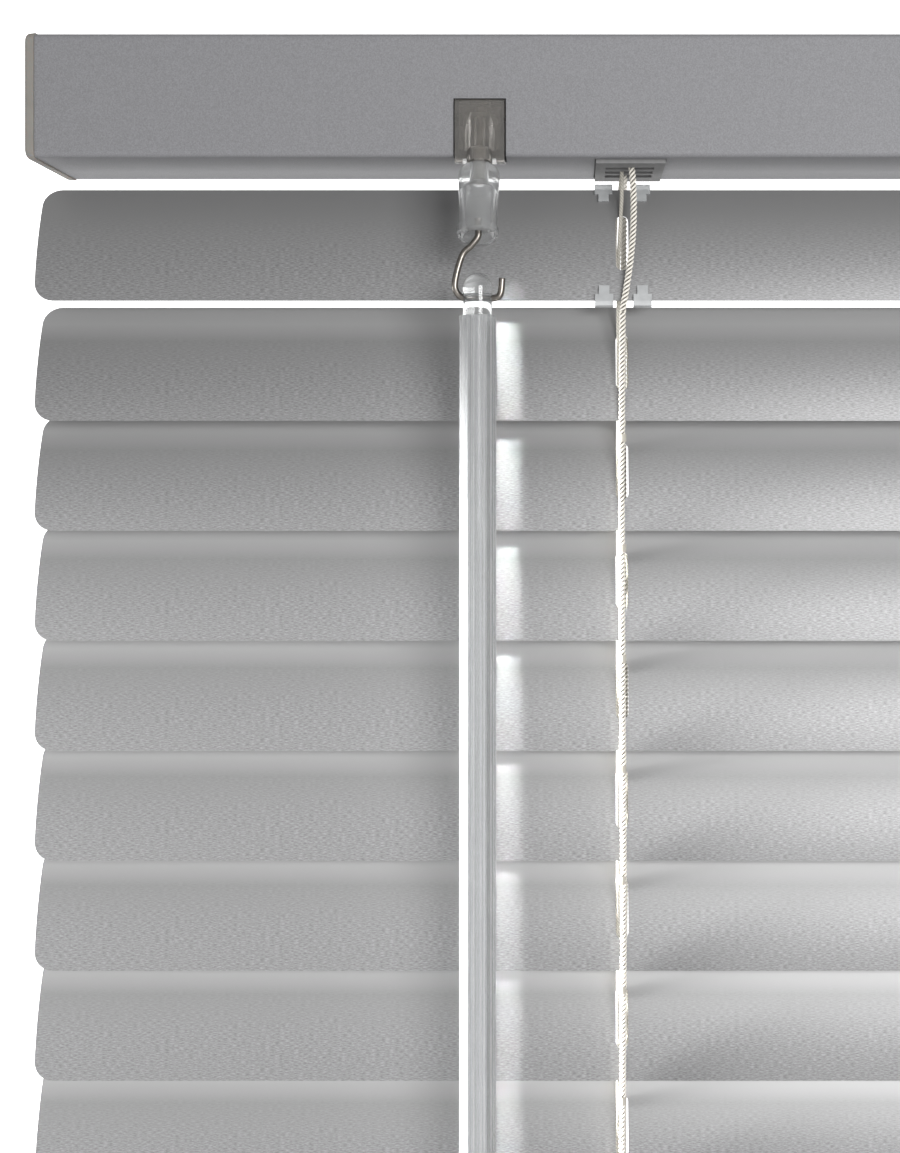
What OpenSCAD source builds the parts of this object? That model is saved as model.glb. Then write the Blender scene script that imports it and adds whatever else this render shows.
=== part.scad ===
// Venetian blind, made to measure: steel headrail, cupped aluminium slats, twisted string ladders,
// a worm tilter and a clear hexagonal wand on a wire hook. Shown closed, room-side slat edges down.
// +X runs along the blind to the right, the room is on the -Y side, +Z is up. Millimetres.
// The origin is the centre of the bracket screw pattern, on the ceiling plane.

/* [Headrail] */
// Length of the headrail with its end caps
blind_width = 597; // [560:1:640]
// Depth and height of the square headrail
rail_section = 25; // [25:0.5:26]
// Sheet thickness of the headrail
rail_sheet = 0.5; // [0.4:0.1:0.6]

/* [Slats] */
// Number of slats
slat_count = 14; // [10:1:16]
// Length of each slat
slat_length = 600; // [580:1:640]
// Straight width of a slat across its cup
slat_chord = 25; // [24:0.1:25]
// Height of the cup
slat_crown = 1.2; // [1:0.1:1.3]
// Thickness of the slat strip
slat_thick = 0.2; // [0.18:0.01:0.22]
// Distance from one slat to the next
slat_pitch = 22.9; // [22.5:0.1:23.5]
// Distance from the top slat to the second
first_pitch = 25; // [24:0.1:26]
// Tilt of the closed slats from level, in degrees
closed_tilt = 75; // [75:1:76]

/* [Ladders] */
// Distance of each ladder from the middle of the blind
ladder_x = 177.5; // [165:0.5:180]
// Distance from a slat's centre to either ladder string
string_reach = 16.2; // [16:0.1:17]
// Radius of a ladder string
string_r = 0.5; // [0.4:0.05:0.5]
// Radius of a lift cord
cord_r = 0.4; // [0.3:0.05:0.4]

/* [Wand] */
// Position of the tilter and wand along the blind
wand_x = -206.6; // [-215:0.1:-200]
// Distance of the wand in front of the rod
wand_y = -18.4; // [-18.6:0.1:-18.2]
// Length of the hexagonal tube
wand_length = 280; // [180:5:400]

/* [Hidden] */
$fn = 48;
eps = 0.01;
tilt_range = 2 * closed_tilt;

// Headrail
top_z = -1;                                   // top of the headrail, under the bracket plates
under_z = top_z - rail_section;
half_depth = rail_section / 2;
cap_wall = 2;
channel_length = blind_width - 2 * cap_wall;
lip = 3;

// Tilt rod and what turns with it
rod_z = -13.5;
rod_side = 4.2;
rod_from = wand_x - 6;
rod_to = ladder_x + 14;
outlet_shift = 1.5;                           // the grommet reaches further to the right of its strings
outlet_width = 14.2;
drum_length = 8;
drum_r = 4.6;
journal_r = 3.7;
journal_length = 4;

// Slat cup: a strip bent to this radius
bend_r = (pow(slat_chord / 2, 2) + pow(slat_crown, 2)) / (2 * slat_crown);
corner_r = 3.8;
slot_length = 12.2;
slot_width = 2.6;

// Heights
first_slat_z = -42;
function slat_z(i) = i == 1 ? first_slat_z : first_slat_z - first_pitch - slat_pitch * (i - 2);
rail_drop = 26;
bottom_z = slat_z(slat_count) - rail_drop;
string_y = string_reach * cos(closed_tilt);
string_dz = string_reach * sin(closed_tilt);
knot_r = 0.8;
knot_bore = string_r + 0.08;
knot_h = 1.6;

// Bottom rail, an oval tube
oval_width = 22;
oval_thick = 6;
oval_wall = 0.6;
oval_r = (pow(oval_width / 2, 2) + pow(oval_thick / 2, 2)) / oval_thick;

// Wand drive
spindle_slant = 20;                           // forward slant of the sleeve
sleeve_from = 2.4;                            // along the slanted axis, from the headrail's lower front edge
sleeve_to = 18.2;
wire_r = 0.75;
hook_hole_z = -55.05;
head_r = 2.9;
tube_r = 3.6;
tube_top_z = -58.6;
tube_bore = 2.35;

// Cord lock and brackets
lock_x = 250;
roller_r = 3;
bracket_spacing = 200;
screw_hole_r = 2.25;

function two(n) = n < 10 ? str("0", n) : str(n);
function slat_name(i) = str("slat_", two(i));
function knots_name(i) = str("knots_", two(i));

steel_white = [0.86, 0.86, 0.85];
clear = [0.85, 0.9, 0.92, 0.45];
metal = [0.35, 0.36, 0.38];
thread = [0.93, 0.93, 0.9];

/* Helpers */

// Draws its children at both ladders.
module at_ladders() {
    for (side = [-1, 1]) translate([side * ladder_x, 0, 0]) children();
}

// A bar along X from its YZ outline, centred at x = 0.
module along_x(length) {
    rotate([90, 0, 90]) linear_extrude(length, center = true) children();
}

// The frame of a slat: local y along the width towards the window side, local z out of the cup.
module slat_frame(z) {
    translate([0, 0, z]) rotate([closed_tilt, 0, 0]) children();
}

// A band between two distances outside the slat's bending cylinder, cut to the slat's chord.
module cup_band(inner, outer, length) {
    translate([0, 0, slat_crown - bend_r]) rotate([0, 90, 0])
        difference() {
            cylinder(r = bend_r + outer, h = length, center = true, $fn = 180);
            cylinder(r = bend_r + inner, h = length + 2, center = true, $fn = 180);
        }
}

// A rounded rectangle extruded along z through the slat's thickness.
module slab(x, y, r, h) {
    linear_extrude(h, center = true)
        union() {
            square([x - 2 * r, y], center = true);
            square([x, y - 2 * r], center = true);
            for (sx = [-1, 1], sy = [-1, 1])
                translate([sx * (x / 2 - r), sy * (y / 2 - r)]) circle(r = r, $fn = 32);
        }
}

// A straight piece of round wire in the XZ plane.
module straight(from, to, r) {
    run = [to[0] - from[0], to[1] - from[1]];
    translate([from[0], 0, from[1]]) rotate([0, atan2(run[0], run[1]), 0]) cylinder(r = r, h = norm(run), $fn = 24);
}

// A bend of round wire in the XZ plane, counted from +x towards +z.
module bend(centre, radius, start, turn, r) {
    translate([centre[0], 0, centre[1]]) rotate([90, 0, 0]) rotate([0, 0, start])
        rotate_extrude(angle = turn) translate([radius, 0]) circle(r = r, $fn = 24);
}

// Moves its children onto the slanted spindle axis, with local -z running down and forward.
module on_spindle() {
    translate([wand_x, -half_depth, under_z]) rotate([-spindle_slant, 0, 0]) children();
}

/* Headrail */

// Roll-formed U channel with turned-in lips, cut for the tilter, the ladders and the lift cords.
module headrail() {
    color(steel_white) difference() {
        along_x(channel_length) difference() {
            translate([-half_depth, under_z]) square([rail_section, rail_section]);
            translate([-half_depth + rail_sheet, under_z + rail_sheet])
                square([rail_section - 2 * rail_sheet, rail_section - 2 * rail_sheet]);
            translate([-half_depth + lip, top_z - 2 * rail_sheet]) square([rail_section - 2 * lip, 2]);
        }
        // window for the tilter, round the lower front edge
        translate([wand_x - 5.3, -half_depth - 1, under_z - 1]) cube([10.6, 6.4, 12.8]);
        at_ladders() translate([outlet_shift, 0, under_z]) cube([outlet_width + 0.4, 20.6, 4], center = true);
        translate([lock_x, 1, under_z]) cube([8.4, 10.4, 4], center = true);
    }
}

// Moulded end cap: a face plate with rounded corners and a hollow plug that slides into the channel.
module end_cap(side) {
    plug = rail_section - 2 * rail_sheet - 0.2;
    mid_z = (top_z + under_z) / 2;
    color([0.78, 0.76, 0.71]) translate([side * channel_length / 2, 0, mid_z]) {
        translate([side * cap_wall / 2, 0, 0]) rotate([0, 90, 0])
            slab(rail_section + 0.6, rail_section + 0.6, 1.5, cap_wall);
        translate([-side * 3, 0, -0.3]) rotate([0, 90, 0]) difference() {
            slab(plug - 0.8, plug, 1, 6 + 2 * eps);
            slab(plug - 3, plug - 2.2, 0.8, 8);
        }
    }
}
module end_cap_left() { end_cap(-1); }
module end_cap_right() { end_cap(1); }

// Outline of the tilter case from the side: its lower front corner fills the window.
module case_outline() {
    polygon([[7.5, -5.5], [-11.7, -5.5], [-11.7, -14.8], [-13.1, -14.8], [-13.1, -26.5], [-7.6, -26.5],
        [-7.6, -25.3], [7.5, -25.3]]);
}

// Clear tilter case: a flat box over the rod, with two feet, a slanted neck and an arched boss for the shaft.
module tilter_housing() {
    width = 10;
    wall = 0.8;
    shaft_clear = 1.35;
    boss_r = 3.4;
    color(clear) difference() {
        union() {
            difference() {
                translate([wand_x, 0, 0]) along_x(width) case_outline();
                translate([wand_x, 0, 0]) along_x(width - 2 * wall) polygon([[6.7, -6.3], [-10.9, -6.3],
                    [-10.9, -15.6], [-12.3, -15.6], [-12.3, -24.5], [6.7, -24.5]]);
            }
            intersection() {
                on_spindle() translate([0, 0, -4]) cylinder(r = boss_r, h = 12.5);
                translate([wand_x, 0, 0]) along_x(width - wall) case_outline();
            }
            on_spindle() translate([0, 0, -1.9]) cylinder(r = 2.6, h = 3);
            for (side = [-1, 1]) translate([wand_x + side * 4.2 - 0.8, -13.1, -27.2]) cube([1.6, 2, 1]);
        }
        on_spindle() translate([0, 0, -4]) cylinder(r = shaft_clear, h = 14);
        translate([wand_x, 0, rod_z]) rotate([0, 90, 0]) cylinder(r = journal_r + 0.08, h = 12, center = true);
    }
}

// Ladder cradle: a base that fills the outlet with a slotted grommet, and two saddles for the drum.
module ladder_cradles() {
    floor_z = under_z + rail_sheet;
    color(clear) at_ladders() difference() {
        union() {
            translate([-12, -10.5, floor_z + 0.05]) cube([24, 21, 1.2]);
            translate([outlet_shift - outlet_width / 2, -10, under_z - 0.8]) cube([outlet_width, 20, 2]);
            for (side = [-1, 1])
                translate([side * 8 - 1.5, -7, floor_z + 0.5]) cube([3, 14, rod_z - floor_z - 0.5]);
        }
        // three outlets for the two strings and the lift cord
        for (y = [-string_y, 0, string_y]) translate([outlet_shift, y, under_z]) cube([10, 2.6, 8], center = true);
        translate([0, 0, rod_z]) rotate([0, 90, 0]) cylinder(r = journal_r + 0.08, h = 30, center = true);
        translate([-14, -1.5, floor_z + 1.25]) cube([28, 3, 5.4]);
    }
}

// Cord lock: an open plastic frame with a pin across it and a throat through the channel's floor.
module cord_lock_body() {
    color([0.2, 0.2, 0.21]) difference() {
        union() {
            translate([lock_x - 13, -6, under_z + rail_sheet + 0.05]) cube([26, 14, 13]);
            translate([lock_x - 4, -4, under_z - 1.2]) cube([8, 10, 2]);
        }
        translate([lock_x - 15, -3.6, under_z + 2]) cube([30, 9.2, 15]);
        translate([lock_x - 2.8, -2.8, under_z - 2]) cube([5.6, 7.6, 6]);
        translate([lock_x - 6, 0, rod_z - 4]) rotate([90, 0, 0]) cylinder(r = 1.05, h = 30, center = true);
    }
}
module cord_lock_pin() {
    color(metal) translate([lock_x - 6, 7.5, rod_z - 4]) rotate([90, 0, 0]) cylinder(r = 1, h = 13);
}
module cord_lock_roller() {
    color([0.7, 0.7, 0.7]) translate([lock_x - 6, 5.2, rod_z - 4]) rotate([90, 0, 0]) difference() {
        cylinder(r = roller_r, h = 8.4);
        translate([0, 0, -1]) cylinder(r = 1.06, h = 11);
        for (a = [0:30:330]) rotate([0, 0, a]) translate([roller_r, 0, -1]) cylinder(r = 0.25, h = 11, $fn = 12);
    }
}

// Ceiling bracket: a plate with a screw hole and two hooks that hold the channel's top edges.
module mounting_brackets() {
    color([0.8, 0.8, 0.78]) for (side = [-1, 1]) translate([side * bracket_spacing / 2, 0, 0]) {
        difference() {
            translate([-12, -14.2, -0.95]) cube([24, 28.4, 0.95]);
            translate([0, 0, -2]) cylinder(r = screw_hole_r, h = 4);
        }
        for (edge = [-1, 1]) translate([-12, edge * 13.75 - 0.45, -6]) cube([24, 0.9, 5.5]);
    }
}

/* What turns in the headrail */

module tilt_rod() {
    color(metal) translate([(rod_from + rod_to) / 2, 0, rod_z]) cube([rod_to - rod_from, rod_side, rod_side],
        center = true);
}

// Drum that winds the two ladder strings: a flanged spool between two journals.
module tilt_drum(side) {
    color([0.9, 0.9, 0.88]) translate([side * ladder_x, 0, rod_z]) rotate([0, 90, 0]) difference() {
        union() {
            cylinder(r = drum_r, h = drum_length, center = true);
            for (end = [-1, 1]) translate([0, 0, end * (drum_length - 1) / 2])
                cylinder(r = drum_r + 1, h = 1, center = true);
            cylinder(r = journal_r, h = drum_length + 2 * journal_length, center = true);
        }
        cube([rod_side + 0.06, rod_side + 0.06, 30], center = true);
    }
}
module tilt_drum_left() { tilt_drum(-1); }
module tilt_drum_right() { tilt_drum(1); }

// Wheel of the tilter, with journals that turn in the case's side holes.
module tilter_gear() {
    teeth = 12;
    tip_r = 5.1;
    color([0.92, 0.92, 0.9]) translate([wand_x, 0, rod_z]) rotate([0, 90, 0]) difference() {
        union() {
            cylinder(r = 4.1, h = 5, center = true);
            for (i = [0:teeth - 1]) rotate([0, 0, i * 360 / teeth])
                linear_extrude(5, center = true)
                    polygon([[3.8, -0.75], [tip_r, -0.35], [tip_r, 0.35], [3.8, 0.75]]);
            cylinder(r = journal_r, h = 10, center = true);
        }
        cube([rod_side + 0.06, rod_side + 0.06, 30], center = true);
    }
}

// Worm on the slanted spindle: a threaded blank with collars, and the shaft down to the sleeve.
module tilter_worm() {
    color([0.92, 0.92, 0.9]) on_spindle() {
        translate([0, 0, 11]) cylinder(r = 2, h = 9);
        translate([0, 0, -6]) cylinder(r = 1.2, h = 17 + eps);
    }
}

// Clear sleeve on the spindle: domed shoulder, slight taper, a thick rim and a bell-shaped mouth.
module wand_sleeve() {
    shoulder = 2.2;
    wide = 4.2;
    narrow = 3.75;
    length = sleeve_to - sleeve_from;
    color(clear) on_spindle() translate([0, 0, -sleeve_from]) rotate([180, 0, 0]) rotate_extrude()
        polygon(concat([[1.25, 0]],
            [for (a = [0:15:90]) [wide - shoulder + shoulder * sin(a), shoulder - shoulder * cos(a)]],
            [[narrow, length - 2.2], [narrow + 0.45, length - 1.6], [narrow + 0.45, length - 0.3],
             [narrow + 0.1, length], [2.85, length], [2.6, length - 1.5], [2.6, 5.5], [1.25, 4]]));
}

// Points along a bend in the XZ plane, counted from +x towards +z.
function bend_points(centre, radius, start, end, steps = 6) =
    [for (i = [0:steps]) let (a = start + (end - start) * i / steps) centre + radius * [cos(a), sin(a)]];

// A closed round wire swept through points in the XZ plane.
module swept_wire(path, r, sides = 16) {
    last = len(path) - 1;
    rings = [for (i = [0:last])
        let (along = path[min(i + 1, last)] - path[max(i - 1, 0)], t = along / norm(along))
        for (k = [0:sides - 1])
            let (a = 360 * k / sides)
            [path[i][0] - t[1] * r * cos(a), r * sin(a), path[i][1] + t[0] * r * cos(a)]];
    walls = [for (i = [0:last - 1], k = [0:sides - 1])
        let (n = (k + 1) % sides)
        [i * sides + k, i * sides + n, (i + 1) * sides + n, (i + 1) * sides + k]];
    ends = [[for (k = [sides - 1:-1:0]) k], [for (k = [0:sides - 1]) last * sides + k]];
    polyhedron(rings, concat(walls, ends), convexity = 6);
}

// Wire hook: a headed stem in the sleeve's mouth, a bow to the left, and a cross leg with a raised tip.
module wand_hook() {
    bow = 4.4;
    tip = 4.75;
    neck_z = -44.4;
    lean = 50;
    wide_bend = 2.5;
    close_bend = 1.5;
    low = hook_hole_z + close_bend;
    shift = wide_bend * (1 - cos(lean));
    drop = wide_bend * sin(lean);
    slope = (bow - 2 * shift) / sin(lean);
    slope_end = neck_z - drop - slope * cos(lean) - drop;
    path = concat([[0, -40.8]], bend_points([-wide_bend, neck_z], wide_bend, 0, -lean),
        bend_points([-bow + wide_bend, slope_end], wide_bend, 180 - lean, 180),
        bend_points([-bow + close_bend, low], close_bend, 180, 270),
        bend_points([tip - close_bend, low], close_bend, 270, 360), [[tip, low + 2.6]]);
    color(metal) translate([wand_x, wand_y, 0]) {
        swept_wire(path, wire_r);
        translate([0, 0, -41]) cylinder(r = 1.05, h = 1.2);
    }
}

// Clear head: a rounded plug with a cross hole for the hook and a stem that fits the tube.
module wand_head() {
    color(clear) translate([wand_x, wand_y, 0]) difference() {
        union() {
            translate([0, 0, tube_top_z]) cylinder(r = head_r, h = 5.6);
            translate([0, 0, tube_top_z + 5.6]) intersection() {
                sphere(r = head_r);
                cylinder(r = head_r + 1, h = head_r);
            }
            translate([0, 0, tube_top_z - 6]) cylinder(r = tube_bore - 0.05, h = 6 + eps);
        }
        translate([0, 0, hook_hole_z]) rotate([0, 90, 0]) cylinder(r = wire_r + 0.1, h = 10, center = true);
    }
}

// Clear hexagonal tube with a flat towards the room.
module wand_tube() {
    color(clear) translate([wand_x, wand_y, tube_top_z - wand_length]) difference() {
        cylinder(r = tube_r, h = wand_length, $fn = 6);
        translate([0, 0, -1]) cylinder(r = tube_bore, h = wand_length + 2);
    }
}

// Plug that closes the lower end of the tube.
module wand_tip() {
    bottom = tube_top_z - wand_length;
    color(clear) translate([wand_x, wand_y, bottom]) {
        translate([0, 0, -2.5]) cylinder(r = tube_r, h = 2.5);
        translate([0, 0, -eps]) cylinder(r = tube_bore - 0.05, h = 6);
    }
}

/* Ladders and lift cords */

// The strings on the room side, from the top slat's knot to the bottom rail's.
module ladder_front_cords() {
    from = slat_z(1) - string_dz + 1.2;
    to = bottom_z - string_dz - 1.2;
    color(thread) at_ladders() translate([0, -string_y, to]) cylinder(r = string_r, h = from - to);
}

// The strings on the window side, from the outlets down to the bottom rail's upper edge.
module ladder_back_cords() {
    from = under_z - 1.2;
    to = bottom_z + string_dz - 1.2;
    color(thread) at_ladders() translate([0, string_y, to]) cylinder(r = string_r, h = from - to);
}

// Woven junctions where a slat's rungs leave the two front strings.
module knots(z) {
    color(thread) at_ladders() translate([0, -string_y, z - string_dz]) difference() {
        cylinder(r = knot_r, h = knot_h, center = true);
        cylinder(r = knot_bore, h = knot_h + 1, center = true);
    }
}
module rail_knots() { knots(bottom_z); }

// Lift cords, straight down through the slats' slots and knotted inside the bottom rail.
module lift_cords() {
    color(thread) at_ladders() {
        translate([0, 0, bottom_z]) cylinder(r = cord_r, h = under_z + 2.2 - bottom_z);
        translate([0, 0, bottom_z]) sphere(r = 1);
    }
}

// The same cords inside the headrail, from both outlets along the floor to the cord lock.
module lift_cord_run() {
    turn_r = 1;
    color(thread) for (side = [-1, 1]) {
        x = side * ladder_x;
        run_z = under_z + (side < 0 ? 4.9 : 3.3);
        if (side < 0) straight([x, under_z + 2.3], [x, run_z - turn_r], cord_r);
        bend([x + turn_r, run_z - turn_r], turn_r, 90, 90, cord_r);
        straight([x + turn_r, run_z], [lock_x - 1, run_z], cord_r);
    }
}

/* Slats */

// A cupped strip with rounded corners and a slot at each ladder.
module slat(z) {
    color(steel_white) slat_frame(z) difference() {
        intersection() {
            cup_band(-slat_thick / 2, slat_thick / 2, slat_length + 10);
            slab(slat_length, slat_chord, corner_r, 8);
        }
        at_ladders() slab(slot_width, slot_length, slot_width / 2 - eps, 8);
    }
}

// Clear clips that keep the ladder's rungs in place on the top slat, two on each side and each edge.
module slat_clips() {
    grip = slat_thick / 2 + 0.03;
    face = grip + 0.5;
    color(clear) slat_frame(slat_z(1)) at_ladders()
        for (edge = [-1, 1], x = [-3.8, 4.2]) difference() {
            intersection() {
                cup_band(-face, face, 400);
                union() {
                    translate([x, edge * slat_chord / 2, 0]) cube([3.8, 2.4, 9], center = true);
                    translate([x, edge * (slat_chord / 2 - 1.8), 0]) cube([2.2, 2.4, 9], center = true);
                }
            }
            intersection() {
                cup_band(-grip, grip, 420);
                translate([x, edge * (slat_chord / 2 - 4.98), 0]) cube([6, 10.02, 10], center = true);
            }
        }
}

/* Bottom rail */

module oval(inset) {
    intersection() {
        translate([0, oval_thick / 2 - oval_r]) circle(r = oval_r - inset, $fn = 120);
        translate([0, oval_r - oval_thick / 2]) circle(r = oval_r - inset, $fn = 120);
    }
}

// Rolled oval tube with a slot for the lift cord at each ladder.
module bottom_rail() {
    color(steel_white) slat_frame(bottom_z) difference() {
        along_x(slat_length - 3) difference() {
            oval(0);
            oval(oval_wall);
        }
        at_ladders() slab(3, 17.6, 1.4, 10);
    }
}
module rail_cap(side) {
    color([0.78, 0.76, 0.71]) slat_frame(bottom_z) {
        translate([side * (slat_length / 2 - 0.7), 0, 0]) along_x(1.6 - 2 * eps) oval(-0.2);
        translate([side * (slat_length / 2 - 5), 0, 0]) along_x(7.2) oval(oval_wall + 0.1);
    }
}
module rail_cap_left() { rail_cap(-1); }
module rail_cap_right() { rail_cap(1); }

headrail();
end_cap_left();
end_cap_right();
tilter_housing();
ladder_cradles();
cord_lock_body();
cord_lock_pin();
cord_lock_roller();
mounting_brackets();
tilt_rod();
tilt_drum_left();
tilt_drum_right();
tilter_gear();
tilter_worm();
wand_sleeve();
wand_hook();
wand_head();
wand_tube();
wand_tip();
ladder_front_cords();
ladder_back_cords();
rail_knots();
lift_cords();
lift_cord_run();
slat_clips();
bottom_rail();
rail_cap_left();
rail_cap_right();
for (i = [1:slat_count]) slat(slat_z(i));
for (i = [2:slat_count]) knots(slat_z(i));
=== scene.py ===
"""Venetian blind: grey headrail and closed cupped slats, string ladders, clear tilter and wand."""

import math

import bmesh
import bpy
import numpy as np
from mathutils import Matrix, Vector


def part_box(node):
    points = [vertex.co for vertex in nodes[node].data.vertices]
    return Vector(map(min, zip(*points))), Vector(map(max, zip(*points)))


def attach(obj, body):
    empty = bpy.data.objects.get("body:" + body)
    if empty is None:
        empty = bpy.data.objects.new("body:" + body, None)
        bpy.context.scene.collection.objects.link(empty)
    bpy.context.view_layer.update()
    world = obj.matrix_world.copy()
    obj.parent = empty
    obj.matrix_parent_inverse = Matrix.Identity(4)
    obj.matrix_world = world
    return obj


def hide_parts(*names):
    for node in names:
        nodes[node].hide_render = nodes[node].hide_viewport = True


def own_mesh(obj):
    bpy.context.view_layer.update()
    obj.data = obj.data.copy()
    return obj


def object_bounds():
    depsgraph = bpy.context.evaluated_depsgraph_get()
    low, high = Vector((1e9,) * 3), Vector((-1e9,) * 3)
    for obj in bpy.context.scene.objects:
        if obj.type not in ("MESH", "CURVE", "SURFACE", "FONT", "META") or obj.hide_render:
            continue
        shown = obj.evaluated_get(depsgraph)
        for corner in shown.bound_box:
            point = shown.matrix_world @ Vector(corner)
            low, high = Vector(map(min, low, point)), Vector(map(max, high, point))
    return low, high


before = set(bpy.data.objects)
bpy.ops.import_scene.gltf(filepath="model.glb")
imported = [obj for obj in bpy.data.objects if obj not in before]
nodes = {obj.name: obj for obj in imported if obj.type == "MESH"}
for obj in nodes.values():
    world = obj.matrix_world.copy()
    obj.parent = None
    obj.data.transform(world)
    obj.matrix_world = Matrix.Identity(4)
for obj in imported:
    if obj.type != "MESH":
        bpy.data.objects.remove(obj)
cad_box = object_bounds()
MM = 0.001

# ---------------------------------------------------------------- camera
# A straight frontal view of the blind's upper left corner, with no turn and no tilt.
# The film is shifted a little instead, because the corner is looked at from lower right.
cap_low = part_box("end_cap_left")[0]
rail_low, rail_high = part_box("headrail")
camera = bpy.data.objects.new("camera", bpy.data.cameras.new("camera"))
bpy.context.scene.collection.objects.link(camera)
camera.location = (cap_low.x + 110.9 * MM, -300 * MM, rail_high.z - 83.8 * MM)
camera.rotation_euler = (math.radians(90), 0, 0)
camera.data.lens = 44.5
camera.data.shift_x = -0.1074
camera.data.shift_y = -0.1112
camera.data.clip_start = 0.01
bpy.context.scene.camera = camera

# ---------------------------------------------------------------- headrail
# Steel strip roll-formed to a square channel with small bends and turned-in lips, stoved grey.
# Its paint has a fine even speckle that stays the same in every direction.
SHEET, BEND, EASE = 0.5 * MM, 0.8 * MM, 0.4 * MM
HALF_DEPTH = rail_high.y - SHEET / 2
TOP, UNDER = rail_high.z - SHEET / 2, rail_low.z + SHEET / 2
MOUTH_HALF = 9.5 * MM
case_low, case_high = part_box("tilter_housing")
case_x = (case_low.x + case_high.x) / 2
WINDOW_HALF, WINDOW_TOP, WINDOW_BACK = 5.3 * MM, -14.2 * MM, -7.1 * MM
window_x = (case_x - WINDOW_HALF, case_x + WINDOW_HALF)
CRADLE_HALF = 12 * MM
LADDER_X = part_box("ladder_cradles")[1].x - CRADLE_HALF
OUTLET_SHIFT, OUTLET_HALF, OUTLET_DEPTH = 1.5 * MM, 7.3 * MM, 10.3 * MM
lock_low, lock_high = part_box("cord_lock_body")
lock_x = (lock_low.x + lock_high.x) / 2
LOCK_HALF, LOCK_FRONT, LOCK_BACK = 4.2 * MM, -4.2 * MM, 6.2 * MM


def linear(code, alpha=1.0):
    """sRGB hex to linear: c / 12.92 below 0.04045, else ((c + 0.055) / 1.055) ** 2.4."""
    c = [int(code[i:i + 2], 16) / 255 for i in (1, 3, 5)]
    return [v / 12.92 if v <= 0.04045 else ((v + 0.055) / 1.055) ** 2.4 for v in c] + [alpha]


def add(tree, kind, links=None, settings=None, **values):
    """Adds one shader node: settings are its properties, values its sockets, links {socket: output}."""
    made = tree.nodes.new(kind)
    for key, value in (settings or {}).items():
        setattr(made, key, value)
    for key, value in values.items():
        made.inputs[key.replace("_", " ")].default_value = value
    for key, source in (links or {}).items():
        tree.links.new(source, made.inputs[key])
    return made


def material(name, **values):
    """A new material with one Principled surface. Returns the material, its tree and the shader."""
    made = bpy.data.materials.new(name)
    made.use_nodes = True
    tree = made.node_tree
    tree.nodes.clear()
    shader = add(tree, "ShaderNodeBsdfPrincipled", **values)
    add(tree, "ShaderNodeOutputMaterial", links={"Surface": shader.outputs[0]})
    return made, tree, shader


def give(obj, *mats):
    """Puts the materials in the object's slots, in order."""
    obj.data.materials.clear()
    for mat in mats:
        obj.data.materials.append(mat)


def mesh_from(name, patches, smooth=True):
    """One object from grids. A patch is (points[n, m, 3], uv[n, m, 2] or None), and its quads join
    neighbours (i, j), (i + 1, j), (i + 1, j + 1), (i, j + 1). Edges that meet are welded."""
    verts, faces, uvs, base = [], [], [], 0
    for points, uv in patches:
        n, m = points.shape[:2]
        index = np.arange(n * m).reshape(n, m) + base
        quads = np.stack([index[:-1, :-1], index[1:, :-1], index[1:, 1:], index[:-1, 1:]], -1)
        verts.append(points.reshape(-1, 3))
        faces.append(quads.reshape(-1, 4))
        uvs.append((uv if uv is not None else points[..., :2]).reshape(-1, 2))
        base += n * m
    verts, faces, uvs = np.vstack(verts), np.vstack(faces), np.vstack(uvs)
    mesh = bpy.data.meshes.new(name)
    mesh.from_pydata(verts.tolist(), [], faces.tolist())
    layer = mesh.uv_layers.new(name="UVMap")
    layer.data.foreach_set("uv", uvs[faces.ravel()].astype(np.float32).ravel())
    work = bmesh.new()
    work.from_mesh(mesh)
    bmesh.ops.remove_doubles(work, verts=work.verts, dist=1e-6)
    bmesh.ops.recalc_face_normals(work, faces=work.faces)
    work.to_mesh(mesh)
    work.free()
    mesh.polygons.foreach_set("use_smooth", np.full(len(mesh.polygons), smooth))
    obj = bpy.data.objects.new(name, mesh)
    bpy.context.scene.collection.objects.link(obj)
    return obj


def channel_profile():
    """The channel's middle line as (y, z) rows: straight runs with a row at each cut-out's edge, and
    quarter bends (cy + r cos a, cz + r sin a) with a short straight ease before and after each."""
    rows = [(-MOUTH_HALF, TOP)]
    stops = [[],
             [(-HALF_DEPTH, z) for z in (-4 * MM, WINDOW_TOP, -24 * MM)],
             [(y, UNDER) for y in (-OUTLET_DEPTH, WINDOW_BACK, LOCK_FRONT, LOCK_BACK, OUTLET_DEPTH)],
             [(HALF_DEPTH, z) for z in (-20 * MM, -5 * MM)]]
    away = [(1, 0), (0, 1), (-1, 0), (0, -1)]
    for k, (sy, sz) in enumerate([(-1, 1), (-1, -1), (1, -1), (1, 1)]):
        cy, cz = sy * (HALF_DEPTH - BEND), (TOP - BEND if sz > 0 else UNDER + BEND)
        angle = np.radians(90 * ((k + 1) % 4) + np.linspace(0, 90, 7))
        bend = np.stack([cy + BEND * np.cos(angle), cz + BEND * np.sin(angle)], -1)
        rows += stops[k]
        rows.append(tuple(bend[0] + EASE * np.array(away[k])))
        rows += [tuple(point) for point in bend]
        rows.append(tuple(bend[-1] + EASE * np.array(away[k - 1])))
    rows.append((MOUTH_HALF, TOP))
    return np.array(rows)


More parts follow.
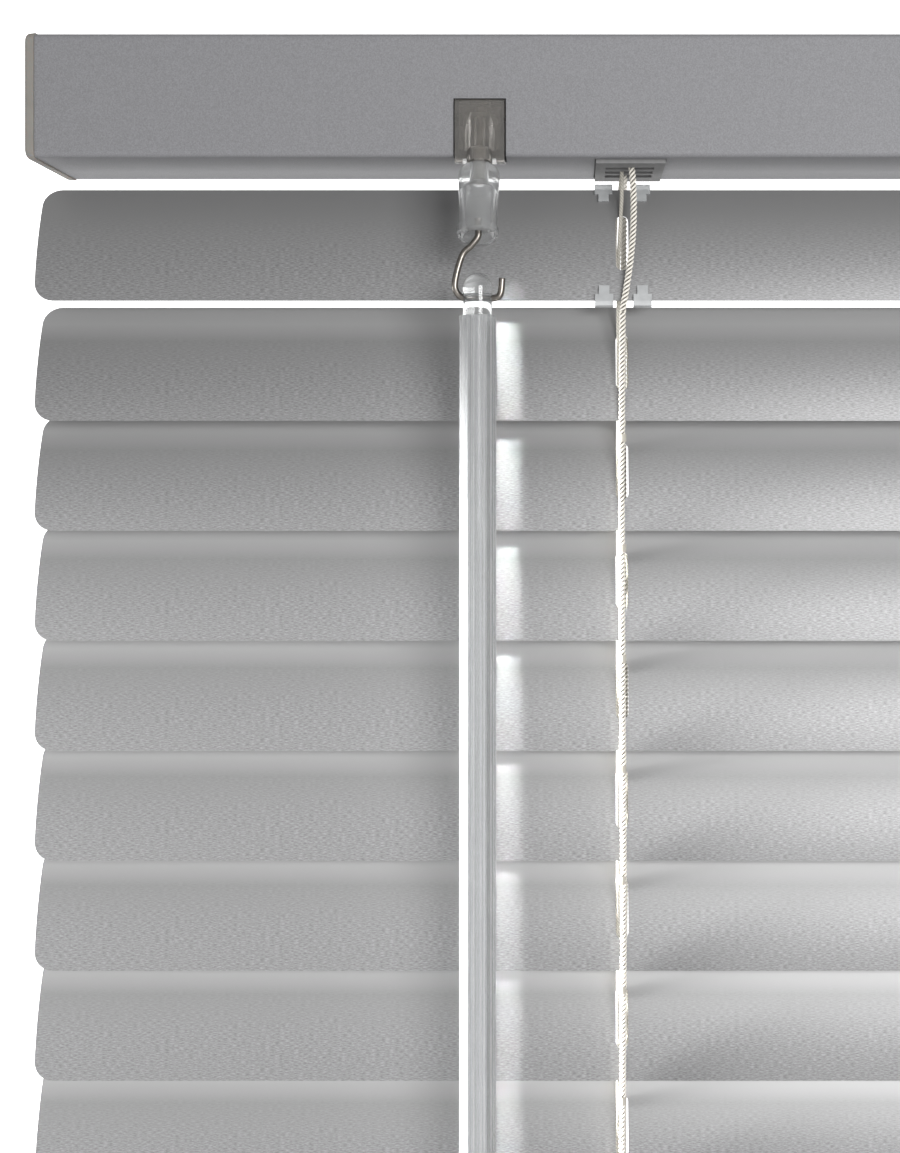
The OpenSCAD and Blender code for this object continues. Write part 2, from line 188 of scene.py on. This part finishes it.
profile = channel_profile()
end_x = rail_high.x
cuts = sorted([-end_x, end_x, *window_x, lock_x - LOCK_HALF, lock_x + LOCK_HALF]
              + [s * LADDER_X + OUTLET_SHIFT + e * OUTLET_HALF for s in (-1, 1) for e in (-1, 1)])
columns = np.concatenate([np.linspace(a, b, max(2, int((b - a) / 0.02) + 1))[:-1]
                          for a, b in zip(cuts[:-1], cuts[1:])] + [[end_x]])
arc = np.concatenate([[0], np.cumsum(np.linalg.norm(np.diff(profile, axis=0), axis=1))])
mid_y, mid_z = ((profile[:-1] + profile[1:]) / 2).T
in_floor = mid_z < UNDER + 0.1 * MM
window = ((mid_y < 1.5 * MM - HALF_DEPTH) & (mid_z < WINDOW_TOP)) | \
         ((mid_z < UNDER + 0.9 * MM) & (mid_y < WINDOW_BACK))
outlet = in_floor & (abs(mid_y) < OUTLET_DEPTH)
lock_mouth = in_floor & (mid_y > LOCK_FRONT) & (mid_y < LOCK_BACK)
patches = []
for x0, x1 in zip(columns[:-1], columns[1:]):
    x = (x0 + x1) / 2
    if window_x[0] < x < window_x[1]:
        gone = window
    elif min(abs(x - OUTLET_SHIFT - LADDER_X), abs(x - OUTLET_SHIFT + LADDER_X)) < OUTLET_HALF:
        gone = outlet
    elif abs(x - lock_x) < LOCK_HALF:
        gone = lock_mouth
    else:
        gone = np.zeros(len(mid_y), bool)
    edges = np.flatnonzero(np.diff(np.concatenate([[1], gone.astype(int), [1]])))
    for a, b in zip(edges[::2], edges[1::2]):
        rows = profile[a:b + 1]
        points = np.array([[(xx, y, z) for y, z in rows] for xx in (x0, x1)])
        uv = np.array([[(xx, s) for s in arc[a:b + 1]] for xx in (x0, x1)])
        patches.append((points, uv))
headrail = mesh_from("headrail_channel", patches)
sheet = headrail.modifiers.new("sheet", "SOLIDIFY")
sheet.thickness = SHEET
sheet.offset = 0
sheet.use_even_offset = True
crisp = headrail.modifiers.new("crisp", "EDGE_SPLIT")
crisp.split_angle = math.radians(40)

# Stoved polyester paint: satin, with a speckle of 0.24 mm grit.
rail_paint, tree, shader = material("stoved_grey_paint", Roughness=0.62, Metallic=0.1,
                                    Specular_IOR_Level=0.35)
coord = add(tree, "ShaderNodeTexCoord")
speck = add(tree, "ShaderNodeTexNoise", links={"Vector": coord.outputs["Object"]},
            Scale=4200.0, Detail=2.0, Roughness=0.6)
tone = add(tree, "ShaderNodeValToRGB", links={"Fac": speck.outputs["Fac"]})
for stop, place, shade in zip(tone.color_ramp.elements, (0.3, 0.7), ("#6f6f71", "#828285")):
    stop.position, stop.color = place, linear(shade)
tree.links.new(tone.outputs["Color"], shader.inputs["Base Color"])
relief = add(tree, "ShaderNodeBump", links={"Height": speck.outputs["Fac"]},
             Strength=0.25, Distance=0.04 * MM)
tree.links.new(relief.outputs["Normal"], shader.inputs["Normal"])
give(headrail, rail_paint)
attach(headrail, "headrail")
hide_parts("headrail")

# ---------------------------------------------------------------- slats
# Aluminium strip, cupped between rolls, with rounded corners and a slot punched at each ladder.
# The stoved coat is satin, with faint lines from rolling; punched edges show bare bright metal.
TILT = math.radians(75)
SLAT_HALF, CROWN, CORNER = 12.5 * MM, 1.2 * MM, 3.8 * MM
SLOT_R, SLOT_STRAIGHT = 1.3 * MM, 4.8 * MM
SLAT_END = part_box("slat_01")[1].x
slat_names = sorted(n for n in nodes if n.startswith("slat_") and n[5:].isdigit())


def tilted(x, s, b, z):
    """Slat frame to blind frame: y = s cos T - b sin T, z = z0 + s sin T + b cos T."""
    return np.stack(np.broadcast_arrays(x, s * math.cos(TILT) - b * math.sin(TILT),
                                        z + s * math.sin(TILT) + b * math.cos(TILT)), -1)


def cup(s):
    """Height of the cup: sqrt(R^2 - s^2) - (R - crown), with R from the chord and the crown."""
    r = (SLAT_HALF ** 2 + CROWN ** 2) / (2 * CROWN)
    return np.sqrt(r * r - s * s) - (r - CROWN)


def slat_patch(x, low, high, share, z, wave):
    """Columns x, rows low(x) + share (high(x) - low(x)), bent to the cup, with a slow wave of height."""
    s = low[:, None] + share[None] * (high - low)[:, None]
    xs = np.repeat(x[:, None], len(share), 1)
    b = cup(s) + wave[0] * np.sin(xs * wave[1] + wave[2]) * (s / SLAT_HALF)
    return tilted(xs, s, b, z), np.stack([xs, s], -1)


def slat_half_width(x):
    """Half width at x: full, and h - c + sqrt(c^2 - (|x| - L + c)^2) inside the rounded corners."""
    into = np.clip(np.abs(x) - (SLAT_END - CORNER), 0, CORNER)
    return SLAT_HALF - CORNER + np.sqrt(np.maximum(CORNER ** 2 - into ** 2, 0))


def slat_mesh(name, z, wave):
    """A slat in strips: three plain runs, and above and below each slot."""
    side = np.concatenate([np.linspace(-1, -SLOT_STRAIGHT / SLAT_HALF, 9),
                           np.linspace(-SLOT_STRAIGHT / SLAT_HALF, SLOT_STRAIGHT / SLAT_HALF, 9)[1:-1],
                           np.linspace(SLOT_STRAIGHT / SLAT_HALF, 1, 9)])
    share = (side + 1) / 2
    corner = SLAT_END - CORNER + CORNER * np.sin(np.linspace(0, np.pi / 2, 9))
    inner, outer = LADDER_X - SLOT_R, LADDER_X + SLOT_R
    near = np.array([0.3, 1.0, 3.0]) * MM
    right = np.concatenate([[outer], outer + near, np.linspace(outer, SLAT_END - CORNER, 12)[1:], corner[1:]])
    between = np.concatenate([[-inner], -inner + near, np.linspace(-inner, inner, 36)[1:-1],
                              inner - near[::-1], [inner]])
    patches = []
    for x in (-right[::-1], between, right):
        half = slat_half_width(x)
        patches.append(slat_patch(x, -half, half, share, z, wave))
    across = np.linspace(-np.pi / 2, np.pi / 2, 11)
    for centre in (-LADDER_X, LADDER_X):
        x = centre + SLOT_R * np.sin(across)
        hole = SLOT_STRAIGHT + SLOT_R * np.cos(across)
        full = np.full_like(x, SLAT_HALF)
        strip = np.linspace(0, 1, 9)
        patches.append(slat_patch(x, hole, full, strip, z, wave))
        patches.append(slat_patch(x, -full, -hole, strip, z, wave))
    obj = mesh_from(name, patches)
    strip = obj.modifiers.new("strip", "SOLIDIFY")
    strip.thickness = 0.2 * MM
    strip.offset = 0
    strip.material_offset_rim = 1
    crisp = obj.modifiers.new("crisp", "EDGE_SPLIT")
    crisp.split_angle = math.radians(40)
    return obj


def mottled(name, scale, dark, light, detail=2.0, bump=None, **values):
    """A plain finish: noise with cells of 1 / scale metres goes from the dark shade to the light one,
    and with bump = (strength, depth) it raises the surface too."""
    made, tree, shader = material(name, **values)
    coord = add(tree, "ShaderNodeTexCoord")
    noise = add(tree, "ShaderNodeTexNoise", links={"Vector": coord.outputs["Object"]},
                Scale=scale, Detail=detail)
    tone = add(tree, "ShaderNodeValToRGB", links={"Fac": noise.outputs["Fac"]})
    for stop, shade in zip(tone.color_ramp.elements, (dark, light)):
        stop.color = linear(shade)
    tree.links.new(tone.outputs["Color"], shader.inputs["Base Color"])
    if bump:
        relief = add(tree, "ShaderNodeBump", links={"Height": noise.outputs["Fac"]},
                     Strength=bump[0], Distance=bump[1])
        tree.links.new(relief.outputs["Normal"], shader.inputs["Normal"])
    return made


# Stoved coat over rolled strip: the rolling lines, 1 mm long and 0.14 mm apart, show on the lower part.
# On lapped slats the upper edge is painted paler: a painted band of light, standing in for light gathering
# under the slat above.
PLAIN_ABOVE, ROLLED_BELOW = 7 * MM, -4 * MM
PAINTED_LIGHT_FROM, PAINTED_LIGHT_FULL = 4.5 * MM, 8.5 * MM
slat_paints = []
# Two copies of the coat: a plain one for slat_01, and one with a painted band of light along the top edge.
for label, upper in (("satin_stoved_slat_paint", "#7c7c7c"), ("satin_stoved_slat_paint_painted_top_light", "#949494")):
    slat_paint, tree, shader = material(label, Metallic=0.35, Roughness=0.45)
    coord = add(tree, "ShaderNodeTexCoord")
    lines = add(tree, "ShaderNodeMapping", links={"Vector": coord.outputs["UV"]}, Scale=(1000.0, 7000.0, 1.0))
    grain = add(tree, "ShaderNodeTexNoise", links={"Vector": lines.outputs["Vector"]},
                Scale=1.0, Detail=3.0, Roughness=0.65)
    parts = add(tree, "ShaderNodeSeparateXYZ", links={"Vector": coord.outputs["UV"]})
    low_part = add(tree, "ShaderNodeMapRange", links={"Value": parts.outputs["Y"]},
                   From_Min=PLAIN_ABOVE, From_Max=ROLLED_BELOW)
    tone = add(tree, "ShaderNodeValToRGB", links={"Fac": grain.outputs["Fac"]})
    for stop, place, shade in zip(tone.color_ramp.elements, (0.32, 0.68), ("#606060", "#929293")):
        stop.position, stop.color = place, linear(shade)
    plain = add(tree, "ShaderNodeMix", settings={"data_type": "RGBA"},
                links={"Factor": low_part.outputs["Result"], 7: tone.outputs["Color"]})
    plain.inputs[6].default_value = linear("#7c7c7c")
    # Painted light: towards the top edge the colour goes over to the paler shade.
    painted_light_mask = add(tree, "ShaderNodeMapRange", links={"Value": parts.outputs["Y"]},
               From_Min=PAINTED_LIGHT_FROM, From_Max=PAINTED_LIGHT_FULL)
    painted_light_band = add(tree, "ShaderNodeMix", settings={"data_type": "RGBA"},
               links={"Factor": painted_light_mask.outputs["Result"], 6: plain.outputs[2]})
    painted_light_band.inputs[7].default_value = linear(upper)
    tree.links.new(painted_light_band.outputs[2], shader.inputs["Base Color"])
    relief = add(tree, "ShaderNodeBump", links={"Height": grain.outputs["Fac"]},
                 Strength=0.08, Distance=0.02 * MM)
    tree.links.new(relief.outputs["Normal"], shader.inputs["Normal"])
    slat_paints.append(slat_paint)
bare_edge = mottled("punched_bright_aluminium", 4000.0, "#d8d8da", "#ffffff", Metallic=1.0, Roughness=0.25)
random = np.random.default_rng(7)
for name in slat_names:
    low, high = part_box(name)
    wave = (0.08 * MM * random.uniform(-1, 1), random.uniform(6, 14), random.uniform(0, 6.28))
    slat = slat_mesh(name + "_strip", (low.z + high.z) / 2, wave)
    # Every slat but the first gets the copy with the painted band of light at its top edge.
    give(slat, slat_paints[name != "slat_01"], bare_edge)
    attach(slat, name)
    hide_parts(name)

# ---------------------------------------------------------------- ladders
# Polyester string: two thick three-ply strings a side at each ladder, and a thin braided rung under
# each slat. The strings wind on the drums above, and their long runs close up as the blind is lifted.
STRING_R, STRING_SPREAD, STRING_LAY = 0.33 * MM, 0.38 * MM, 2.8 * MM
DRUM_R, BACK_OFFSET, BOW = 5.2 * MM, 0.65 * MM, 2.3 * MM
SWAY, SWAY_RATE = 0.2 * MM, 38
SPARE_R = 0.3 * MM


def tube(name, path, radius, sides=12, strands=1, lay=0.004, spread=0.0):
    """Closed round tubes along a path: point = path(t) + r (cos a N + sin a B), with N and B square to
    the path. With several strands each one's centre turns round the path once in every lay, and
    the second map value is (1 + cos(a - turn)) / 2: one outside, nought in the groove."""
    path = np.asarray(path, float)
    step = np.gradient(path, axis=0)
    along = np.concatenate([[0], np.cumsum(np.linalg.norm(np.diff(path, axis=0), axis=1))])
    tangent = step / np.linalg.norm(step, axis=1, keepdims=True)
    side = np.array([1.0, 0, 0]) if abs(tangent[0][0]) < 0.7 else np.array([0, 1.0, 0])
    normal = side - tangent * (tangent @ side)[:, None]
    normal /= np.linalg.norm(normal, axis=1, keepdims=True)
    binormal = np.cross(tangent, normal)
    angle = np.linspace(0, 2 * np.pi, sides + 1)
    ring = np.cos(angle)[None, :, None] * normal[:, None] + np.sin(angle)[None, :, None] * binormal[:, None]
    patches = []
    for k in range(strands):
        turn = 2 * np.pi * (along / lay + k / strands)
        centre = path + spread * (np.cos(turn)[:, None] * normal + np.sin(turn)[:, None] * binormal)
        wall = centre[:, None] + radius * ring
        second = angle[None] * radius if strands == 1 else (1 + np.cos(angle[None] - turn[:, None])) / 2
        uv = np.stack(np.broadcast_arrays(along[:, None], second), -1)
        patches.append((wall, uv))
        for end in (0, -1):
            cap = np.stack([wall[end], np.repeat(centre[end][None], sides + 1, 0)])
            patches.append((cap, None))
    return mesh_from(name, patches)


# Braided cord for the lift cords, rungs and knots: a fine diagonal weave.
cord_cloth, tree, shader = material("braided_lift_cord", Roughness=0.7)
coord = add(tree, "ShaderNodeTexCoord")
weave = add(tree, "ShaderNodeTexWave", links={"Vector": coord.outputs["UV"]},
            settings={"bands_direction": "DIAGONAL"}, Scale=900.0, Distortion=0.4)
tone = add(tree, "ShaderNodeValToRGB", links={"Fac": weave.outputs["Fac"]})
for stop, shade in zip(tone.color_ramp.elements, ("#a8a49a", "#cbc7bd")):
    stop.color = linear(shade)
tree.links.new(tone.outputs["Color"], shader.inputs["Base Color"])
# Twisted string: fibres of 0.2 mm, and painted shade that darkens the grooves between the plies.
string_cloth, tree, shader = material("twisted_polyester_string_painted_groove_shade", Roughness=0.8)
coord = add(tree, "ShaderNodeTexCoord")
parts = add(tree, "ShaderNodeSeparateXYZ", links={"Vector": coord.outputs["UV"]})
fibre = add(tree, "ShaderNodeTexNoise", links={"Vector": coord.outputs["Object"]}, Scale=5200.0, Detail=2.0)
# Painted shade: the groove value from the map darkens the colour between the plies; the fibre noise is the
# string's own.
fibre_and_painted_groove_shade = add(tree, "ShaderNodeMath", settings={"operation": "MULTIPLY_ADD"},
            links={0: fibre.outputs["Fac"], 2: parts.outputs["Y"]})
fibre_and_painted_groove_shade.inputs[1].default_value = 0.35
tone = add(tree, "ShaderNodeValToRGB", links={"Fac": fibre_and_painted_groove_shade.outputs["Value"]})
for stop, place, shade in zip(tone.color_ramp.elements, (0.45, 1.0), ("#57534b", "#e2ded5")):
    stop.position, stop.color = place, linear(shade)
tree.links.new(tone.outputs["Color"], shader.inputs["Base Color"])

rod_low, rod_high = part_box("tilt_rod")
rod_z = (rod_low.z + rod_high.z) / 2
for node, body, face in (("ladder_front_cords", "ladder_front", -1), ("ladder_back_cords", "ladder_back", 1)):
    low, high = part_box(node)
    y = (low.y + high.y) / 2
    # At the far end of the tilt the front string has gone up by this much and the back one down.
    rise = 2 * abs(y) * math.tan(TILT)
    for side, tag in ((-1, "left"), (1, "right")):
        x = side * LADDER_X
        z = np.linspace(high.z, low.z, 1500)
        drift = SWAY * np.sin((z - high.z) * SWAY_RATE) + (0.0 if face < 0 else BACK_OFFSET)
        run = tube(f"{node}_{tag}", np.stack([x + drift, np.full_like(z, y), z], -1),
                   STRING_R, sides=9, strands=3, lay=STRING_LAY, spread=STRING_SPREAD)
        give(run, string_cloth)
        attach(run, body)
        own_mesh(run)
        if side < 0:
            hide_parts(node)
        if face < 0:
            t = np.linspace(0, 1, 260)[:, None]
            start, end = np.array([x, -DRUM_R, rod_z]), np.array([x, y, high.z])
            path = start + t * (end - start) + np.sin(np.pi * t) * np.array([BOW, 0, 0])
            top = tube(f"{node}_{tag}_top", path, STRING_R, sides=9, strands=3,
                       lay=STRING_LAY, spread=STRING_SPREAD)
            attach(top, "headrail")
            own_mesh(top)
        else:
            # The string that the drum pays out is thinner, and lies inside the run until it is needed.
            z = np.linspace(rod_z, high.z - rise, 260)
            upper = np.clip((z - high.z) / (rod_z - high.z), 0, 1)
            drift = BACK_OFFSET + SWAY * np.sin((np.minimum(z, high.z) - high.z) * SWAY_RATE)
            path = np.stack([x + drift, y + upper * (DRUM_R - y), z], -1)
            top = tube(f"{node}_{tag}_top", path, SPARE_R, sides=9, strands=3,
                       lay=STRING_LAY, spread=SPARE_R)
            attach(top, "headrail")
        give(top, string_cloth)

front_low, front_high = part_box("ladder_front_cords")
REACH = -(front_low.y + front_high.y) / 2 / math.cos(TILT)
RUNG_R, RUNG_DROP, RUNG_ASIDE = 0.28 * MM, 0.42 * MM, 1.3 * MM
for number, name in enumerate(slat_names):
    low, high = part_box(name)
    z0 = (low.z + high.z) / 2
    for side, tag in ((-1, "left"), (1, "right")):
        t = np.linspace(-1, 1, 41)
        s = t * REACH
        b = np.interp(np.abs(s), [0, 11.8 * MM, 12.8 * MM, REACH], [-RUNG_DROP, -RUNG_DROP, -0.40 * MM, 0])
        shift = (1 if number % 2 else -1) * RUNG_ASIDE * np.cos(t * np.pi / 2)
        rung = tube(f"rung_{name[5:]}_{tag}", tilted(side * LADDER_X + shift, s, b, z0), RUNG_R, sides=8)
        give(rung, cord_cloth)
        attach(rung, name)
for name in [n for n in nodes if n.startswith("knots_") or n == "rail_knots"]:
    give(nodes[name], cord_cloth)

# ---------------------------------------------------------------- lift cords
# Thin smooth braided cord, one at each ladder, through the slots down to the bottom rail.
# Its fine even weave reads as almost plain beside the twisted strings.
low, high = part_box("lift_cords")
for side, tag in ((-1, "left"), (1, "right")):
    z = np.linspace(high.z, low.z + 1 * MM, 120)
    lean = 0.75 * MM * np.clip((high.z - 8 * MM - z) / (14 * MM), 0, 1)
    path = np.stack([side * LADDER_X - lean, np.zeros_like(z), z], -1)
    cord = tube(f"lift_cord_{tag}", path, 0.4 * MM, sides=12)
    give(cord, cord_cloth)
    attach(cord, "headrail")
    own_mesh(cord)
    if side < 0:
        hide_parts("lift_cords")
give(nodes["lift_cord_run"], cord_cloth)

# ---------------------------------------------------------------- tilter case
# A clear moulded case that fills the window in the headrail; the dark inside shows through it.
# Smoky, smooth, and slightly uneven where it was moulded.
smoky = mottled("smoky_moulded_plastic", 420.0, "#aeaaa5", "#d0cdc8", bump=(0.3, 0.2 * MM),
                Roughness=0.12, IOR=1.49, Transmission_Weight=0.85)
give(nodes["tilter_housing"], smoky)

# ---------------------------------------------------------------- clear plastic parts
# Wand sleeve, head and tip: clear mouldings, bright at their rounded edges, where light gathers.
# The thick sleeve is less clear, the rung clips are frosted, and the ladder outlets are dull grey.
clear = mottled("clear_moulded_plastic", 300.0, "#e4e6e6", "#fafbfb", detail=1.0, bump=(0.25, 0.2 * MM),
                Roughness=0.07, IOR=1.5, Transmission_Weight=0.95)
frosted = mottled("frosted_moulded_plastic", 500.0, "#b2b4b5", "#cccecf", detail=1.0,
                  Roughness=0.25, IOR=1.5, Transmission_Weight=0.4)
thick_clear = mottled("thick_clear_moulded_plastic", 260.0, "#d2d3d3", "#ebecec", detail=1.0,
                      Roughness=0.16, IOR=1.45, Transmission_Weight=0.88)
dull = mottled("dull_grey_moulded_plastic", 900.0, "#6c6c6c", "#7d7d7d",
               Roughness=0.7, Specular_IOR_Level=0.1)
for name, mat in (("wand_head", clear), ("wand_tip", clear), ("slat_clips", frosted),
                  ("wand_sleeve", thick_clear), ("ladder_cradles", dull)):
    give(nodes[name], mat)

# ---------------------------------------------------------------- wand tube
# Clear hexagonal plastic extrusion with fine lines drawn along it by the die.
# Bright facets at the edges and a greyer middle where the slats show through.
drawn, tree, shader = material("clear_drawn_plastic", Roughness=0.1, IOR=1.49, Transmission_Weight=0.72)
coord = add(tree, "ShaderNodeTexCoord")
die_map = add(tree, "ShaderNodeMapping", links={"Vector": coord.outputs["Object"]},
              Scale=(2600.0, 2600.0, 0.4))
die = add(tree, "ShaderNodeTexNoise", links={"Vector": die_map.outputs["Vector"]}, Scale=1.0, Detail=2.0)
tone = add(tree, "ShaderNodeValToRGB", links={"Fac": die.outputs["Fac"]})
for stop, place, shade in zip(tone.color_ramp.elements, (0.36, 0.62), ("#a2a4a6", "#ebecec")):
    stop.position, stop.color = place, linear(shade)
tree.links.new(tone.outputs["Color"], shader.inputs["Base Color"])
relief = add(tree, "ShaderNodeBump", links={"Height": die.outputs["Fac"]}, Strength=0.6, Distance=0.08 * MM)
tree.links.new(relief.outputs["Normal"], shader.inputs["Normal"])
give(nodes["wand_tube"], drawn)

# ---------------------------------------------------------------- wand hook and steel parts
# Steel wire bent cold into a hook; the tilt rod, the lock's pin and its roller are plain steel too.
# Dark, with a narrow highlight along the wire.
steel = mottled("dark_drawn_steel", 1500.0, "#55524e", "#8f8a84", Metallic=1.0, Roughness=0.28)
for name in ("tilt_rod", "cord_lock_pin", "cord_lock_roller"):
    give(nodes[name], steel)
hook_low, hook_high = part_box("wand_hook")
wand_low, wand_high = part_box("wand_tube")
wand_x, wand_y = (wand_low.x + wand_high.x) / 2, (wand_low.y + wand_high.y) / 2
WIRE = 0.66 * MM
left, right = hook_low.x - wand_x + WIRE, hook_high.x - wand_x - WIRE
foot, top = hook_low.z + WIRE, hook_high.z
hook_points = np.array([
    (0, top - 0.1 * MM), (0.1 * MM, top - 1.8 * MM), (0.05 * MM, top - 3.2 * MM), (-1.3 * MM, top - 5.0 * MM),
    (-3.1 * MM, top - 7.0 * MM), (left, foot + 3.2 * MM), (left + 0.45 * MM, foot + 1.0 * MM),
    (left + 1.9 * MM, foot), (0, foot), (right - 1.6 * MM, foot), (right - 0.35 * MM, foot + 0.9 * MM),
    (right, hook_low.z + 4.6 * MM)])


def smooth_path(points, steps=14):
    """Catmull-Rom: p(t) = ((2 b) + (c - a) t + (2 a - 5 b + 4 c - d) t^2 + (3 b - a - 3 c + d) t^3) / 2."""
    padded = np.vstack([2 * points[0] - points[1], points, 2 * points[-1] - points[-2]])
    t = np.linspace(0, 1, steps, endpoint=False)[:, None]
    runs = [((2 * b) + (c - a) * t + (2 * a - 5 * b + 4 * c - d) * t ** 2
             + (3 * b - a - 3 * c + d) * t ** 3) / 2
            for a, b, c, d in zip(padded[:-3], padded[1:-2], padded[2:-1], padded[3:])]
    return np.vstack(runs + [points[-1:]])


bend = smooth_path(hook_points)
wire_path = np.stack([wand_x + bend[:, 0], np.full(len(bend), wand_y), bend[:, 1]], -1)
wire = tube("wand_hook_wire", wire_path, WIRE, sides=20)
give(wire, steel)
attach(wire, "hook")
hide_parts("wand_hook")

# ---------------------------------------------------------------- end caps
# Milky moulded plastic, pushed into the ends of the headrail and the bottom rail.
# A little light passes through, so the edges look warmer than the paint.
milky = mottled("milky_moulded_plastic", 350.0, "#7a7772", "#86837e", Roughness=0.7, Specular_IOR_Level=0.2,
                Subsurface_Weight=0.15, Subsurface_Scale=2 * MM)
for name in ("rail_cap_left", "rail_cap_right"):
    give(nodes[name], milky)


def cap_loop(x, inset, low, high, corner):
    """A rounded square at x: centre + (half - r) sign + r (cos a, sin a), smaller by the inset."""
    cy, cz = (low.y + high.y) / 2, (low.z + high.z) / 2
    half_y, half_z = (high.y - low.y) / 2 - inset, (high.z - low.z) / 2 - inset
    round_r = max(corner - inset, 0.2 * MM)
    rows = []
    for start, (sy, sz) in zip((0, 90, 180, 270), ((1, 1), (-1, 1), (-1, -1), (1, -1))):
        for a in np.radians(start + np.linspace(0, 90, 9)):
            rows.append((x, cy + sy * (half_y - round_r) + round_r * math.cos(a),
                         cz + sz * (half_z - round_r) + round_r * math.sin(a)))
    return np.array(rows + rows[:1])


PLUG_LENGTH, PLUG_INSET, CAP_ROUND = 2.5 * MM, 2.2 * MM, 0.9 * MM
for name, sign in (("end_cap_left", -1), ("end_cap_right", 1)):
    low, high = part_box(name)
    outer = low.x if sign < 0 else high.x
    inner = sign * rail_high.x
    seat = inner + sign * 0.02 * MM
    centre = (low + high) / 2
    loops = [cap_loop(inner - sign * PLUG_LENGTH, PLUG_INSET, low, high, 1.2 * MM),
             cap_loop(seat, PLUG_INSET, low, high, 1.2 * MM),
             cap_loop(seat, 0, low, high, 1.5 * MM)]
    for a in np.linspace(0, math.pi / 2, 9):
        loops.append(cap_loop(outer - sign * CAP_ROUND * (1 - math.sin(a)), CAP_ROUND * (1 - math.cos(a)),
                              low, high, 2.0 * MM))
    flat = cap_loop(outer, 0, low, high, 1.0 * MM)
    flat[:, 1:] = (centre.y, centre.z)
    back = loops[0].copy()
    back[:, 1:] = (centre.y, centre.z)
    cap = mesh_from(name + "_moulding", [(np.array([back] + loops + [flat]), None)])
    crisp = cap.modifiers.new("crisp", "EDGE_SPLIT")
    crisp.split_angle = math.radians(50)
    give(cap, milky)
    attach(cap, "headrail")
    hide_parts(name)

# ---------------------------------------------------------------- inside and bottom parts
# Grey moulded drums, wheel and worm, a dark cord lock, painted brackets, the painted oval rail.
# Plain satin surfaces with a faint texture.
for label, names, dark, light, rough in (
        ("grey_moulded_plastic", ("tilt_drum_left", "tilt_drum_right", "tilter_gear", "tilter_worm"),
         "#7d7973", "#8f8b85", 0.45),
        ("dark_moulded_plastic", ("cord_lock_body",), "#2c2c2e", "#38383a", 0.5),
        ("painted_bracket_steel", ("mounting_brackets",), "#c9c9c6", "#d6d6d3", 0.4),
        ("painted_rail_steel", ("bottom_rail",), "#98999a", "#a6a7a9", 0.4)):
    finish = mottled(label, 1800.0, dark, light, Roughness=rough)
    for name in names:
        give(nodes[name], finish)

# ---------------------------------------------------------------- floor, backdrop and light
# A pale studio floor well under the blind and a white lit backdrop behind it.
# Soft lamps: a key at the right, low so that it reaches under each slat's edge, a fill, and two strips.
def sheet_of(name, corners, mat):
    """A flat stage piece through four corners."""
    mesh = bpy.data.meshes.new(name)
    mesh.from_pydata(corners, [], [(0, 1, 2, 3)])
    obj = bpy.data.objects.new(name, mesh)
    bpy.context.scene.collection.objects.link(obj)
    give(obj, mat)
    return obj


floor_z = cad_box[0].z - 0.5
back_y = 1.2
WHITE = linear("#ffffff")
pale = mottled("pale_studio_floor", 3.0, "#f8f8f8", "#fbfbfb", Roughness=0.8, Emission_Color=WHITE,
               Emission_Strength=0.05)
sheet_of("floor", [(-3, -3, floor_z), (3, -3, floor_z), (3, back_y, floor_z), (-3, back_y, floor_z)], pale)
lit = material("lit_white_backdrop", Roughness=1.0, Base_Color=WHITE, Emission_Color=WHITE,
               Emission_Strength=1.2)[0]
sheet_of("backdrop", [(-3, back_y, floor_z), (3, back_y, floor_z), (3, back_y, 1.6), (-3, back_y, 1.6)], lit)

world = bpy.data.worlds.new("surround")
bpy.context.scene.world = world
world.use_nodes = True
world.node_tree.nodes["Background"].inputs["Color"].default_value = WHITE
world.node_tree.nodes["Background"].inputs["Strength"].default_value = 0.45
for label, place, size, power, aim, spread in (
        ("key_right", (0.14, -0.70, 0.0), (0.4, 0.30), 5.5, (-0.10, 0, -0.25), 180),
        ("fill_left", (-0.8, -0.9, -0.25), (0.7, 0.7), 1.9, (-0.2, 0, -0.2), 180),
        ("strip_left", (-0.65, -0.03, -0.34), (0.08, 0.5), 2.4, (-0.2066, -0.0184, -0.34), 12),
        ("streak", (-0.09, -0.37, 0.07), (0.002, 0.30), 0.008, (-0.2020, 0, -0.25), 1)):
    lamp = bpy.data.lights.new(label, "AREA")
    lamp.shape = "RECTANGLE"
    lamp.size, lamp.size_y = size
    lamp.energy = power
    lamp.spread = math.radians(spread)
    holder = bpy.data.objects.new(label, lamp)
    bpy.context.scene.collection.objects.link(holder)
    holder.location = place
    toward = Vector(aim) - Vector(place)
    holder.rotation_euler = toward.to_track_quat("-Z", "Y").to_euler()
bpy.context.scene.view_settings.view_transform = "Standard"
